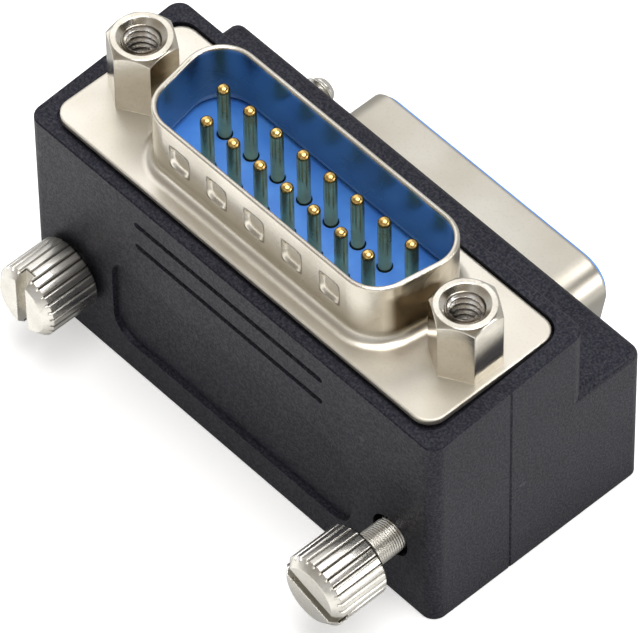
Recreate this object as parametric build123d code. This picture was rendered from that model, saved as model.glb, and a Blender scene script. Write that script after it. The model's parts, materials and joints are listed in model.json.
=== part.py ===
from build123d import *
import math
import os

# Right-angle adapter between two 15-way D connectors, with captive thumb screws.
# Frame: the origin is the centre of the male connector's flange face.
# The male connector points along +Z, the female along +Y, and X runs along both.
# All sizes are in millimetres.

# Pattern shared by both connectors: the contacts set the shells, and the shells set the flanges
contact_pitch = 2.77
row_spacing = 2.84
wide_row_count = 8
side_angle = 10.0
shell_end_room = 2.93
shell_side_room = 2.76
shell_to_fixing = 4.035
fixing_hole_radius = 1.55
flange_end_margin = 2.91
flange_side_margin = 2.095
flange_corner_radius = 1.5

# Sheet metal of the connector shells
front_sheet = 0.5
rear_sheet = 0.4
drawn_wall = 0.4
rim_rounding = 0.15
rear_flange_inset = 0.4
rear_cup_depth = 4.5
rear_lip_width = 0.6
seat_clearance = 0.05

# Insulators
insulator_overhang = 0.45
front_insulator_depth = 2.1
insulator_tail = 0.8

# Male connector
male_inner_radius = 2.6
male_shell_height = 5.7
male_draw_radius = 0.85
male_face_drop = 0.2
dimple_count = 5
dimple_pitch = 3.87
dimple_width = 2.0
dimple_length = 2.2
dimple_height = 3.2
dimple_depth = 0.25
dimple_corner_radius = 0.7
dimple_taper = 45.0
pin_radius = 0.5
pin_height = 5.0
pin_tip_radius = 0.45
pin_bore_clearance = 0.1

# Female connector
mating_end_gap = 0.295
mating_side_gap = 0.23
female_outer_radius = 2.5
female_shell_height = 5.75
female_draw_radius = 0.6
female_insulator_proud = 0.3
socket_bore_radius = 0.52
socket_wall = 0.26
socket_setback = 0.5
socket_depth = 5.0
socket_entry_radius = 0.6

# Contact tails and the wires that link the two connectors
collar_radius = 0.95
collar_thickness = 0.6
tail_radius = 0.75
tail_length = 3.0
cup_bore_radius = 0.45
cup_bore_depth = 2.3
wire_radius = 0.4
wire_end_gap = 0.2
wire_bend_margin = 0.1

# Housing
housing_end_margin = 1.52
housing_depth = 20.2
front_margin = 0.975
back_margin = 1.125
connector_drop = 14.1
foot_margin = 0.025
step_cover = 1.7
rim_front_drop = 0.85
rim_back_rise = 0.35
upper_corner_radius = 1.1
step_corner_radius = 0.8
edge_bevel = 0.1
step_rounding = 1.0
seam_y = 0.2
seam_chamfer = 0.12
end_wall = 1.6
front_wall = 2.0
roof_wall = 1.6
floor_wall = 1.05
ledge_thickness = 2.15
pocket_end_gap = 0.3
pocket_side_gap = 0.12
female_recess = 0.6
retaining_lip = 0.5
window_gap = 0.2
peg_radius = 0.7
peg_length = 2.2
peg_clearance = 0.05
corner_rib = 2.4
peg_post_rise = 0.4

# Front face details
groove_length = 19.6
groove_width = 0.55
groove_depth = 0.3
groove_first_drop = 3.1
groove_spacing = 2.35
groove_taper = 30.0
label_length = 25.1
label_height = 8.4
label_drop = 13.35
label_depth = 0.4
label_corner_radius = 2.0
label_taper = 15.0

# Jack standoffs and their captive nuts
standoff_flats = 4.75
standoff_height = 5.64
standoff_chamfer = 0.12
standoff_bore_radius = 1.13
standoff_bore_depth = 4.8
standoff_sink_radius = 1.85
stud_radius = 1.37
nut_flats = 5.0
nut_thickness = 2.2
thread_clearance = 0.05
stud_overrun = 0.9

# Thumb screws and their retaining rings
screw_head_radius = 2.925
screw_head_length = 4.9
screw_head_chamfer = 0.6
knurl_count = 26
knurl_depth = 0.22
screw_slot_width = 1.05
screw_slot_depth = 1.1
screw_shank_radius = 1.37
screw_reach = 25.05
screw_tip_chamfer = 0.4
screw_hole_radius = 1.775
captive_travel = 2.8
head_gap = 0.3
right_screw_drawn = 2.55
ring_radius = 2.3
ring_thickness = 0.5
ring_groove_depth = 0.32
ring_radial_clearance = 0.05
ring_side_clearance = 0.06
ring_opening = 1.65
left_slot_angle = 90.0
right_slot_angle = -18.0

# Sizes worked out from those above
male_inner_width = contact_pitch * (wide_row_count - 1) + 2 * shell_end_room
male_inner_height = row_spacing + 2 * shell_side_room
female_outer_width = male_inner_width - 2 * mating_end_gap
female_outer_height = male_inner_height - 2 * mating_side_gap
fixing_spacing = male_inner_width + 2 * shell_to_fixing
flange_length = fixing_spacing + 2 * flange_end_margin
flange_height = male_inner_height + 2 * flange_side_margin
housing_length = flange_length + 2 * housing_end_margin

# Places worked out from them
half_height = flange_height / 2
screw_x = fixing_spacing / 2
front_y = -(half_height + front_margin)
upper_back_y = half_height + back_margin
lower_back_y = front_y + housing_depth
female_face_y = lower_back_y - female_recess
foot_z = -(connector_drop + half_height + foot_margin)
step_z = -connector_drop + half_height + step_cover
flange_stack = front_sheet + rear_sheet
cavity_front_y = front_y + front_wall
cavity_floor_z = foot_z + floor_wall
cavity_roof_z = step_z - roof_wall
ledge_y = female_face_y - flange_stack
cup_inner_width = male_inner_width + 2 * insulator_overhang + 2 * seat_clearance
cup_inner_height = male_inner_height + 2 * insulator_overhang + 2 * seat_clearance
cup_inner_radius = male_inner_radius + insulator_overhang + seat_clearance
cup_depth = flange_stack + rear_cup_depth
insulator_joint = front_insulator_depth + male_face_drop
insulator_back = cup_depth + insulator_tail
tail_end = insulator_back + tail_length
ring_distance = head_gap + front_wall + head_gap + captive_travel
contact_places = [(contact_pitch * (i - (wide_row_count - 1) / 2), row_spacing / 2)
                  for i in range(wide_row_count)]
contact_places += [(contact_pitch * (i - (wide_row_count - 2) / 2), -row_spacing / 2)
                   for i in range(wide_row_count - 1)]

male_plane = Plane.XY
female_plane = Plane(origin=(0, female_face_y, -connector_drop), x_dir=(-1, 0, 0), z_dir=(0, 1, 0))


def d_outline(width, height, corner):
    """D outline: width is the widest extent, on the +Y side, and the short sides lean inward."""
    lean = math.radians(side_angle)
    top = width / 2 - corner + corner * (1 + math.sin(lean)) / math.cos(lean)
    bottom = top - height * math.tan(lean)
    points = [(-top, height / 2), (top, height / 2), (bottom, -height / 2), (-bottom, -height / 2)]
    face = make_face(Polyline(*points, close=True))
    return fillet(face.vertices(), corner)


def slab(sketch, low, high):
    """Straight prism of a sketch between two heights."""
    return Pos(0, 0, low) * extrude(sketch, high - low)


def fixing_holes(radius, low, high):
    """Two upright cylinders at the fixing places."""
    rod = Pos(0, 0, (low + high) / 2) * Cylinder(radius, high - low)
    return Pos(-screw_x, 0, 0) * rod + Pos(screw_x, 0, 0) * rod


def flange_plate(inset, low, high):
    """Rounded flange plate, smaller by inset on every side."""
    outline = RectangleRounded(flange_length - 2 * inset, flange_height - 2 * inset, flange_corner_radius)
    return slab(outline, low, high) - fixing_holes(fixing_hole_radius, low, high)


def front_shell(inner_width, inner_height, inner_radius, height, draw_radius):
    """Drawn front shell: flange, flared foot and D-shaped wall in one sheet."""
    inner = d_outline(inner_width, inner_height, inner_radius)
    outer = d_outline(inner_width + 2 * drawn_wall, inner_height + 2 * drawn_wall,
                      inner_radius + drawn_wall)
    body = flange_plate(0, -front_sheet, 0) + slab(outer, -front_sheet, height)
    foot = body.faces().filter_by(Axis.Z).filter_by(lambda face: abs(face.center().Z) < 0.01)[0]
    body = fillet(foot.inner_wires().sort_by(lambda wire: wire.length)[-1].edges(), draw_radius)
    body = body - slab(inner, -front_sheet, height)
    mouth = body.faces().filter_by(Axis.Z).sort_by(Axis.Z)[0]
    flare = mouth.inner_wires().sort_by(lambda wire: wire.length)[-1].edges()
    body = fillet(flare, draw_radius + front_sheet)
    rim = body.faces().filter_by(Axis.Z).sort_by(Axis.Z)[-1]
    return fillet(rim.edges(), rim_rounding)


def dimples(wall_y):
    """Punched dimples as a pair: the pockets outside the wall, and the bumps they raise inside."""
    pockets = Part()
    bumps = Part()
    for i in range(dimple_count):
        x = dimple_pitch * (i - (dimple_count - 1) / 2)
        face = Plane(origin=(x, wall_y, dimple_height), x_dir=(1, 0, 0), z_dir=(0, 1, 0))
        punch = RectangleRounded(dimple_width, dimple_length, dimple_corner_radius)
        pockets += extrude(face * punch, dimple_depth, taper=dimple_taper)
        raised = RectangleRounded(dimple_width - dimple_depth, dimple_length - dimple_depth,
                                  dimple_corner_radius)
        bumps += extrude(face.offset(drawn_wall) * raised, dimple_depth, taper=dimple_taper)
    return pockets, bumps


def rear_shell():
    """Rear shell: flange and a drawn cup whose lip holds the insulators."""
    cup_inner = d_outline(cup_inner_width, cup_inner_height, cup_inner_radius)
    cup_outer = d_outline(cup_inner_width + 2 * rear_sheet, cup_inner_height + 2 * rear_sheet,
                          cup_inner_radius + rear_sheet)
    mouth = d_outline(cup_inner_width - 2 * rear_lip_width, cup_inner_height - 2 * rear_lip_width,
                      cup_inner_radius - rear_lip_width)
    body = flange_plate(rear_flange_inset, -flange_stack, -front_sheet)
    body += slab(cup_outer, -cup_depth, -front_sheet)
    body -= slab(cup_inner, -cup_depth + rear_sheet, -front_sheet)
    return body - slab(mouth, -cup_depth, -front_sheet)


def insulator_outline(shrink):
    """Outline of the insulators inside the rear cup, smaller by shrink on every side."""
    inset = seat_clearance + shrink
    return d_outline(cup_inner_width - 2 * inset, cup_inner_height - 2 * inset, cup_inner_radius - inset)


def bores(radius, low, high):
    """One cylinder for each contact between two heights."""
    rod = Pos(0, 0, (low + high) / 2) * Cylinder(radius, high - low)
    return [Pos(x, y, 0) * rod for x, y in contact_places]


def rear_insulator():
    """Rear insulator: fills the cup below the joint and shows its tail through the lip."""
    shoulder = -cup_depth + rear_sheet + seat_clearance
    body = slab(insulator_outline(0), shoulder, -insulator_joint)
    body += slab(insulator_outline(rear_lip_width + seat_clearance), -insulator_back, shoulder)
    body -= bores(tail_radius + seat_clearance, -insulator_back, -insulator_joint)
    seat_depth = collar_thickness + seat_clearance
    return body - bores(collar_radius + seat_clearance, -insulator_joint - seat_depth, -insulator_joint)


def male_front_insulator():
    """Front insulator of the male connector, with a clearance ring round each pin."""
    body = slab(insulator_outline(0), -insulator_joint, -male_face_drop)
    return body - bores(pin_radius + pin_bore_clearance, -insulator_joint, -male_face_drop)


def female_front_insulator():
    """Front insulator of the female connector: it fills the shell and stands proud of its rim."""
    nose = d_outline(female_outer_width - 2 * drawn_wall - 2 * seat_clearance,
                     female_outer_height - 2 * drawn_wall - 2 * seat_clearance,
                     female_outer_radius - drawn_wall - seat_clearance)
    face = female_shell_height + female_insulator_proud
    body = slab(insulator_outline(0), -insulator_joint, -front_sheet)
    body += slab(nose, -front_sheet, face)
    body -= bores(socket_entry_radius, face - socket_setback, face)
    room_radius = socket_bore_radius + socket_wall + seat_clearance
    return body - bores(room_radius, -insulator_joint, face - socket_setback)


def contact_profile(front_points):
    """Half section of a contact: the given front, then the collar, the tail and its cup."""
    collar_top = -insulator_joint - seat_clearance / 2
    collar_bottom = collar_top - collar_thickness
    back = [(collar_radius, collar_top), (collar_radius, collar_bottom), (tail_radius, collar_bottom),
            (tail_radius, -tail_end), (cup_bore_radius, -tail_end),
            (cup_bore_radius, -tail_end + cup_bore_depth), (0, -tail_end + cup_bore_depth)]
    return make_face(Plane.XZ * Polyline(*front_points, (front_points[-1][0], collar_top), *back, close=True))


def male_pin():
    """Turned pin with a rounded tip, a collar between the insulators and a solder cup."""
    blank = contact_profile([(0, pin_height), (pin_radius, pin_height)])
    pin = revolve(blank, Axis.Z)
    tip = pin.edges().sort_by(Axis.Z)[-1]
    return fillet(tip, pin_tip_radius)


def female_contact():
    """Turned socket with a bore for the mating pin, a collar and a solder cup."""
    mouth = female_shell_height + female_insulator_proud - socket_setback - seat_clearance
    outer = socket_bore_radius + socket_wall
    front = [(0, mouth - socket_depth), (socket_bore_radius, mouth - socket_depth),
             (socket_bore_radius, mouth), (outer, mouth)]
    return revolve(contact_profile(front), Axis.Z)


def link_wires(side):
    """Wires of one row, from the male solder cups round to the female ones; side is +1 or -1."""
    row = side * row_spacing / 2
    drop = -connector_drop + row
    male_cup_z = -tail_end
    female_cup_y = female_face_y - tail_end
    radius = min(male_cup_z - drop, female_cup_y - row) - wire_bend_margin
    start = Vector(0, row, male_cup_z + cup_bore_depth - wire_end_gap)
    bend_in = Vector(0, row, drop + radius)
    sag = radius * (1 - math.cos(math.pi / 4))
    middle = Vector(0, row + sag, drop + sag)
    bend_out = Vector(0, row + radius, drop)
    end = Vector(0, female_cup_y + cup_bore_depth - wire_end_gap, drop)
    path = Wire([Line(start, bend_in).edge(), ThreePointArc(bend_in, middle, bend_out).edge(),
                 Line(bend_out, end).edge()])
    section = Plane(origin=start, z_dir=(0, 0, -1)) * Circle(wire_radius)
    wire = sweep(section, path=path)
    return Compound(children=[Pos(x, 0, 0) * wire for x, y in contact_places if y * side > 0])


def hexagon(flats):
    """Hexagon with two flats facing along X."""
    return RegularPolygon(flats / 2, 6, major_radius=False, rotation=30)


def hex_standoff():
    """Jack standoff: hexagonal socket above the flange and a threaded stud below it."""
    corner = standoff_flats / math.sqrt(3)
    blank = Cylinder(corner, standoff_height, align=(Align.CENTER, Align.CENTER, Align.MIN))
    crown = chamfer(blank.edges().sort_by(Axis.Z)[-1], corner - standoff_flats / 2 + standoff_chamfer)
    body = slab(hexagon(standoff_flats), 0, standoff_height) & crown
    bore_low = standoff_height - standoff_bore_depth
    body -= Pos(0, 0, bore_low) * Cylinder(standoff_bore_radius, standoff_bore_depth,
                                           align=(Align.CENTER, Align.CENTER, Align.MIN))
    sink = standoff_sink_radius - standoff_bore_radius
    body -= Pos(0, 0, standoff_height - sink) * Cone(
        standoff_bore_radius, standoff_sink_radius, sink, align=(Align.CENTER, Align.CENTER, Align.MIN))
    stud_length = flange_stack + nut_thickness + stud_overrun
    stud = Cylinder(stud_radius, stud_length, align=(Align.CENTER, Align.CENTER, Align.MAX))
    return body + chamfer(stud.edges().sort_by(Axis.Z)[0], screw_tip_chamfer)


def captive_nut():
    """Hexagonal nut that sits under the male flange and takes the standoff's stud."""
    return slab(hexagon(nut_flats), -flange_stack - nut_thickness, -flange_stack) - Cylinder(
        stud_radius + thread_clearance, 2 * (flange_stack + nut_thickness))


def thumb_screw(slot_angle):
    """Knurled captive screw, head towards -Y, with its head's rear face in the XZ plane."""
    notch = Rectangle(2 * knurl_depth, 2 * knurl_depth, rotation=45)
    notches = [spot * notch for spot in PolarLocations(screw_head_radius, knurl_count)]
    knurl = Circle(screw_head_radius) - notches
    head = extrude(knurl, screw_head_length)
    blank = Cylinder(screw_head_radius, screw_head_length, align=(Align.CENTER, Align.CENTER, Align.MIN))
    blank = chamfer(blank.edges().sort_by(Axis.Z)[-1], screw_head_chamfer, screw_head_chamfer)
    head &= chamfer(blank.edges().sort_by(Axis.Z)[0], knurl_depth)
    slot = Box(2 * screw_head_radius + 1, screw_slot_width, screw_slot_depth,
               align=(Align.CENTER, Align.CENTER, Align.MAX))
    head -= Pos(0, 0, screw_head_length) * Rot(0, 0, slot_angle) * slot
    shank = Cylinder(screw_shank_radius, screw_reach, align=(Align.CENTER, Align.CENTER, Align.MAX))
    shank = chamfer(shank.edges().sort_by(Axis.Z)[0], screw_tip_chamfer)
    low = -(ring_distance + ring_thickness + ring_side_clearance)
    band = Pos(0, 0, low) * Cylinder(screw_shank_radius + 1, ring_thickness + 2 * ring_side_clearance,
                                     align=(Align.CENTER, Align.CENTER, Align.MIN))
    band -= Cylinder(screw_shank_radius - ring_groove_depth, 3 * screw_reach)
    return head + (shank - band)


def retaining_ring():
    """Open spring ring that rides in the screw's groove behind the front wall."""
    bore = screw_shank_radius - ring_groove_depth + ring_radial_clearance
    ring = Circle(ring_radius) - Circle(bore)
    ring -= Pos(0, -ring_radius) * Rectangle(ring_opening, 2 * ring_radius)
    return Pos(0, 0, -(ring_distance + ring_thickness)) * extrude(ring, ring_thickness)


def screw_plane(side, drawn):
    """Plane of a screw head's rear face: its Z axis points out of the front face, along -Y."""
    return Plane(origin=(side * screw_x, front_y - head_gap - drawn, -connector_drop), x_dir=(1, 0, 0),
                 z_dir=(0, -1, 0))


def housing_block():
    """Outer form of the closed housing: a tall front block and a lower step behind it."""
    profile = [(front_y, foot_z), (lower_back_y, foot_z), (lower_back_y, step_z), (upper_back_y, step_z),
               (upper_back_y, rim_back_rise), (front_y, -rim_front_drop)]
    side = make_face(Plane.YZ * Polyline(*profile, close=True))
    block = extrude(side, housing_length / 2, both=True)
    for radius, behind in ((upper_corner_radius, False), (step_corner_radius, True)):
        corners = [edge for edge in block.edges().filter_by(Axis.Z)
                   if (edge.center().Y > upper_back_y + upper_corner_radius) == behind]
        block = fillet(corners, radius)
    rim = block.faces().sort_by(Axis.Z)[-1].edges()
    block = chamfer(rim, edge_bevel)
    foot = block.faces().sort_by(Axis.Z)[0].edges()
    block = chamfer(foot, edge_bevel)
    step = block.faces().filter_by(Axis.Z).filter_by(lambda face: abs(face.center().Z - step_z) < 0.01)[0]
    outer = [edge for edge in step.edges() if edge.center().Y > upper_back_y + upper_corner_radius / 2]
    return fillet(outer, step_rounding)


def box_between(x, y, z):
    """Box between pairs of limits along each axis."""
    middle = ((x[0] + x[1]) / 2, (y[0] + y[1]) / 2, (z[0] + z[1]) / 2)
    return Pos(*middle) * Box(x[1] - x[0], y[1] - y[0], z[1] - z[0])


def male_pocket():
    """Room for the male connector: its flange, its cup, and the nuts and studs below the flange."""
    room = slab(RectangleRounded(flange_length + 2 * pocket_end_gap, flange_height + 2 * pocket_side_gap,
                                 flange_corner_radius + pocket_side_gap), -flange_stack, 2 * rim_back_rise)
    cup_x = cup_inner_width / 2 + rear_sheet + window_gap
    cup_y = cup_inner_height / 2 + rear_sheet + window_gap
    room += box_between((-cup_x, cup_x), (-cup_y, cup_y), (cavity_roof_z - 1, -flange_stack))
    nut_room = slab(hexagon(nut_flats + 2 * pocket_side_gap), -flange_stack - nut_thickness - pocket_side_gap,
                    -flange_stack)
    stud_room = slab(Circle(stud_radius + window_gap), cavity_roof_z, -flange_stack)
    for side in (-1, 1):
        room += Pos(side * screw_x, 0, 0) * (nut_room + stud_room)
    return room


def female_pocket():
    """Room for the female connector: a slot for its flange, open at the foot, and a window for its cup."""
    slot_x = flange_length / 2 + pocket_side_gap
    slot_top = -connector_drop + half_height + pocket_side_gap
    lip = retaining_lip + pocket_side_gap
    room = box_between((-slot_x, slot_x), (ledge_y, female_face_y + seat_clearance), (foot_z - 1, slot_top))
    room += box_between((-slot_x + lip, slot_x - lip), (ledge_y, lower_back_y + 1),
                        (foot_z - 1, slot_top - lip))
    cup_x = cup_inner_width / 2 + rear_sheet + window_gap
    cup_z = cup_inner_height / 2 + rear_sheet + window_gap
    room += box_between((-cup_x, cup_x), (ledge_y - ledge_thickness - 1, ledge_y),
                        (-connector_drop - cup_z, -connector_drop + cup_z))
    bore = Rot(90, 0, 0) * Cylinder(screw_hole_radius, 2 * ledge_thickness)
    for side in (-1, 1):
        room += Pos(side * screw_x, ledge_y, -connector_drop) * bore
    return room


def housing_cavity():
    """Hollow behind the front wall, with ribs left standing in its two lower corners."""
    half = housing_length / 2 - end_wall
    room = box_between((-half, half), (cavity_front_y, ledge_y - ledge_thickness),
                       (cavity_floor_z, cavity_roof_z))
    for side in (-1, 1):
        x = sorted((side * half, side * (half - corner_rib)))
        room -= box_between(x, (cavity_front_y, ledge_y), (cavity_floor_z, cavity_floor_z + corner_rib))
    return room


def front_details():
    """Cuts in the front face: the two grip grooves, the label recess and the screw holes."""
    cuts = Part()
    for i in range(2):
        z = -groove_first_drop - i * groove_spacing
        face = Plane(origin=(0, front_y, z), x_dir=(1, 0, 0), z_dir=(0, 1, 0))
        cuts += extrude(face * SlotOverall(groove_length, groove_width), groove_depth, taper=groove_taper)
    face = Plane(origin=(0, front_y, -label_drop), x_dir=(1, 0, 0), z_dir=(0, 1, 0))
    label = RectangleRounded(label_length, label_height, label_corner_radius)
    cuts += extrude(face * label, label_depth, taper=label_taper)
    bore = Rot(90, 0, 0) * Cylinder(screw_hole_radius, 2 * front_wall + 1)
    for side in (-1, 1):
        cuts += Pos(side * screw_x, front_y, -connector_drop) * bore
    return cuts


def peg_places():
    """Places of the alignment pegs on the seam, as X and Z."""
    rib_x = housing_length / 2 - end_wall - corner_rib / 2
    rib_z = cavity_floor_z + corner_rib / 2
    post_z = cavity_roof_z + peg_radius + peg_post_rise
    return [(side * x, z) for side in (-1, 1) for x, z in ((rib_x, rib_z), (screw_x, post_z))]


def housing_halves():
    """Front and rear halves of the housing, parted at the seam and aligned by pegs."""
    whole = housing_block() - male_pocket() - female_pocket() - housing_cavity() - front_details()
    reach = 4 * housing_length
    front = whole & box_between((-reach, reach), (-reach, seam_y), (-reach, reach))
    rear = whole & box_between((-reach, reach), (seam_y, reach), (-reach, reach))
    halves = []
    for half in (front, rear):
        seam = [edge for edge in half.edges() if abs(edge.center().Y - seam_y) < 0.001
                and abs(abs(edge.center().X) - housing_length / 2) < 0.001]
        halves.append(chamfer(seam, seam_chamfer))
    front, rear = halves
    for x, z in peg_places():
        place = Pos(x, seam_y, z) * Rot(90, 0, 0)
        front -= place * Cylinder(peg_radius + peg_clearance, 2 * (peg_length + peg_clearance))
        rear += place * Cylinder(peg_radius, peg_length, align=(Align.CENTER, Align.CENTER, Align.MIN))
        rear += place * Cylinder(peg_radius, peg_length, align=(Align.CENTER, Align.CENTER, Align.MAX))
    return front, rear


def male_front_shell():
    """Front shell of the male connector, with a row of dimples punched into its narrow long wall."""
    shell = front_shell(male_inner_width, male_inner_height, male_inner_radius, male_shell_height,
                        male_draw_radius)
    pockets, bumps = dimples(-male_inner_height / 2 - drawn_wall)
    return shell + bumps - pockets


def female_front_shell():
    """Front shell of the female connector."""
    return front_shell(female_outer_width - 2 * drawn_wall, female_outer_height - 2 * drawn_wall,
                       female_outer_radius - drawn_wall, female_shell_height, female_draw_radius)


pieces = {}
pieces["front_housing"], pieces["rear_housing"] = housing_halves()
pieces["male_front_shell"] = male_front_shell()
pieces["male_rear_shell"] = rear_shell()
pieces["male_front_insulator"] = male_front_insulator()
pieces["male_rear_insulator"] = rear_insulator()
pieces["female_front_shell"] = female_plane * female_front_shell()
pieces["female_rear_shell"] = female_plane * rear_shell()
pieces["female_front_insulator"] = female_plane * female_front_insulator()
pieces["female_rear_insulator"] = female_plane * rear_insulator()
for number, (x, y) in enumerate(contact_places, start=1):
    pieces[f"male_pin_{number:02d}"] = Pos(x, y, 0) * male_pin()
    pieces[f"female_contact_{number:02d}"] = female_plane * Pos(x, y, 0) * female_contact()
pieces["wide_row_wires"] = link_wires(1)
pieces["narrow_row_wires"] = link_wires(-1)
for side, name, drawn, slot_angle in ((-1, "left", 0, left_slot_angle),
                                      (1, "right", right_screw_drawn, right_slot_angle)):
    pieces[f"{name}_hex_standoff"] = Pos(side * screw_x, 0, 0) * hex_standoff()
    pieces[f"{name}_captive_nut"] = Pos(side * screw_x, 0, 0) * captive_nut()
    pieces[f"{name}_thumb_screw"] = screw_plane(side, drawn) * thumb_screw(slot_angle)
    pieces[f"{name}_retaining_ring"] = screw_plane(side, drawn) * retaining_ring()

os.makedirs("parts", exist_ok=True)
for name, piece in pieces.items():
    export_step(piece, f"parts/{name}.step")
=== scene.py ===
import json
import logging
import math
from collections.abc import Callable, Iterable, Iterator
from contextlib import contextmanager
from dataclasses import dataclass
from enum import Enum
from typing import Any

import bmesh
import bpy
from bpy.types import Material, Node, NodeSocket, NodeTree, Object
from mathutils import Matrix, Quaternion, Vector


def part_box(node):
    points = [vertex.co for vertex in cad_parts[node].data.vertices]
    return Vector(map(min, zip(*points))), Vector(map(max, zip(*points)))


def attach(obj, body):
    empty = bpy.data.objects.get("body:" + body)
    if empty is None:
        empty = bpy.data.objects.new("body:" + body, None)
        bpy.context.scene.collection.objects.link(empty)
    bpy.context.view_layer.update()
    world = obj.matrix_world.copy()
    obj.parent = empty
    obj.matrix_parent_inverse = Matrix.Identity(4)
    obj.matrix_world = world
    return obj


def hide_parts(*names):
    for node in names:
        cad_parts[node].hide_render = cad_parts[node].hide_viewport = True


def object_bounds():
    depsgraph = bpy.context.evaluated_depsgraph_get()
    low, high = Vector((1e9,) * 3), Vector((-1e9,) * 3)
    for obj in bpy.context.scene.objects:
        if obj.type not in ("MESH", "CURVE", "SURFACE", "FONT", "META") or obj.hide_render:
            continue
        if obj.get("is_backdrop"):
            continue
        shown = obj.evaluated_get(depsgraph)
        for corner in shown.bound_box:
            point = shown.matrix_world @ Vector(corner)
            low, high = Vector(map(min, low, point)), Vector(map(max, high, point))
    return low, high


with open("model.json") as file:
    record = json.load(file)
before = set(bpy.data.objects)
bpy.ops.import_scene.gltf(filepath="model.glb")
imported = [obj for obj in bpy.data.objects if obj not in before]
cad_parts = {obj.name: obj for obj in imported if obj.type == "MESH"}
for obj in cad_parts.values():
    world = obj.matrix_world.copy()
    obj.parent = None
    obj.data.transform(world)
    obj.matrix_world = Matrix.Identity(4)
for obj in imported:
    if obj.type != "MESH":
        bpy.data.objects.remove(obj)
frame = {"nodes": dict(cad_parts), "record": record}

LOG = logging.getLogger("adapter")
MM = 0.001
PHOTO_WIDTH = 640
PHOTO_HEIGHT = 633
HALF_SPACING = 16.66 * MM  # from the middle to a standoff's or a thumb screw's axis
SCREW_DROP = 14.1 * MM  # from the male flange down to the thumb screws' axes
NEAR = 0.01 * MM  # a vertex this close to a plane counts as lying on it
ROUND_SIDES = 40
SHADE_ANGLE = 28.0  # edges sharper than this stay sharp
WHITE = (1.0, 1.0, 1.0, 1.0)


class Slot(Enum):
    """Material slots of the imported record."""

    HOUSING = "housing_plastic"
    SHELL = "shell_plating"
    INSULATOR = "insulator_plastic"
    CONTACT = "contact_plating"
    STANDOFF = "standoff_plating"
    SCREW = "screw_plating"
    NUT = "nut_steel"
    RING = "ring_steel"
    WIRE = "tinned_wire"


class Side(Enum):
    """The two ends of the adapter, with the sign of their place along X."""

    LEFT = -1
    RIGHT = 1

    @property
    def word(self) -> str:
        """The side's name as node names hold it."""
        return self.name.lower()


# ---- shader helpers ----


class Graph:
    """Adds nodes to one shader tree and links them.

    Args:
        tree: The node tree of a material, a world or a node group.
    """

    def __init__(self, tree: NodeTree) -> None:
        """Takes a tree and empties it."""
        self.tree = tree
        self.tree.nodes.clear()

    def feed(self, socket: NodeSocket, value: Any) -> None:
        """Feeds one input.

        Args:
            socket: The input.
            value: A socket, which is linked, or a plain value, which is set.
        """
        if isinstance(value, NodeSocket):
            self.tree.links.new(value, socket)
        else:
            socket.default_value = value

    def add(self, kind: str, inputs: dict[Any, Any] | None = None, **settings: Any) -> Node:
        """Adds a node, sets its properties, and feeds its inputs.

        Args:
            kind: The node's type name, without its "ShaderNode" prefix.
            inputs: Input name or number to a socket or a plain value.
            settings: Properties of the node itself.

        Returns:
            The new node.
        """
        node = self.tree.nodes.new(kind if kind.startswith("Node") else "ShaderNode" + kind)
        for key, value in settings.items():
            setattr(node, key, value)
        for key, value in (inputs or {}).items():
            self.feed(node.inputs[key], value)
        return node

    def noise(self, where: Any, scale: Any, detail: float = 2.0, roughness: float = 0.5) -> Any:
        """Value of a noise texture."""
        inputs = {"Vector": where, "Scale": scale, "Detail": detail, "Roughness": roughness}
        return self.add("TexNoise", inputs).outputs[0]

    def maths(self, operation: str, first: Any, second: Any = 0.0) -> Any:
        """Result of one arithmetic step."""
        return self.add("Math", {0: first, 1: second}, operation=operation).outputs[0]

    def product(self, first: Any, *others: Any) -> Any:
        """Multiplies values.

        Args:
            first: The first value.
            others: The values that it is multiplied by, one after another.

        Returns:
            The product's socket.
        """
        result = first
        for other in others:
            result = self.maths("MULTIPLY", result, other)
        return result

    def span(self, value: Any, low: float, high: float, to_low: float = 0.0, to_high: float = 1.0) -> Any:
        """Value moved from one range to another, and clamped."""
        inputs = {0: value, 1: low, 2: high, 3: to_low, 4: to_high}
        return self.add("MapRange", inputs, clamp=True).outputs[0]

    def blend(self, amount: Any, first: Any, second: Any, mode: str = "MIX") -> Any:
        """Mix of two colours."""
        inputs = {0: amount, 6: first, 7: second}
        return self.add("Mix", inputs, data_type="RGBA", blend_type=mode).outputs[2]

    def toned(self, amount: Any, colour: Any, tone: Any) -> Any:
        """Colour multiplied by a tone where the amount says so."""
        return self.blend(amount, colour, self.blend(1.0, colour, tone, "MULTIPLY"))

    def bump(self, height: Any, distance: float, strength: float, normal: Any = None) -> Any:
        """Makes a normal from a height.

        Args:
            height: Socket of the height.
            distance: Height in metres of a value of 1.
            strength: How much of the bump shows.
            normal: Normal that the bump is laid over, or None for the surface's own.

        Returns:
            The normal's socket.
        """
        inputs = {"Height": height, "Distance": distance, "Strength": strength}
        if normal is not None:
            inputs["Normal"] = normal
        return self.add("Bump", inputs).outputs[0]

    def place(self) -> Any:
        """Object coordinates, in metres."""
        return self.add("TexCoord").outputs["Object"]

    def axes(self) -> Any:
        """Object coordinates as three values."""
        return self.add("SeparateXYZ", {0: self.place()}).outputs

    def distance(self, across: Any, along: Any) -> Any:
        """Length of a vector with two parts."""
        flat = self.add("CombineXYZ", {0: across, 1: along}).outputs[0]
        return self.add("VectorMath", {0: flat}, operation="LENGTH").outputs["Value"]

    def effect(self, group: NodeTree, **inputs: Any) -> Any:
        """Places a shared effect in this tree, over object coordinates.

        Args:
            group: The effect's node group.
            inputs: The group's inputs, their names with underscores for spaces.

        Returns:
            The effect's outputs.
        """
        named = {key.replace("_", " ").capitalize(): value for key, value in inputs.items()}
        return self.add("Group", {"Place": self.place(), **named}, node_tree=group).outputs


def rgb(red: float, green: float, blue: float) -> tuple[float, float, float, float]:
    """Opaque linear colour."""
    return (red, green, blue, 1.0)


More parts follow.
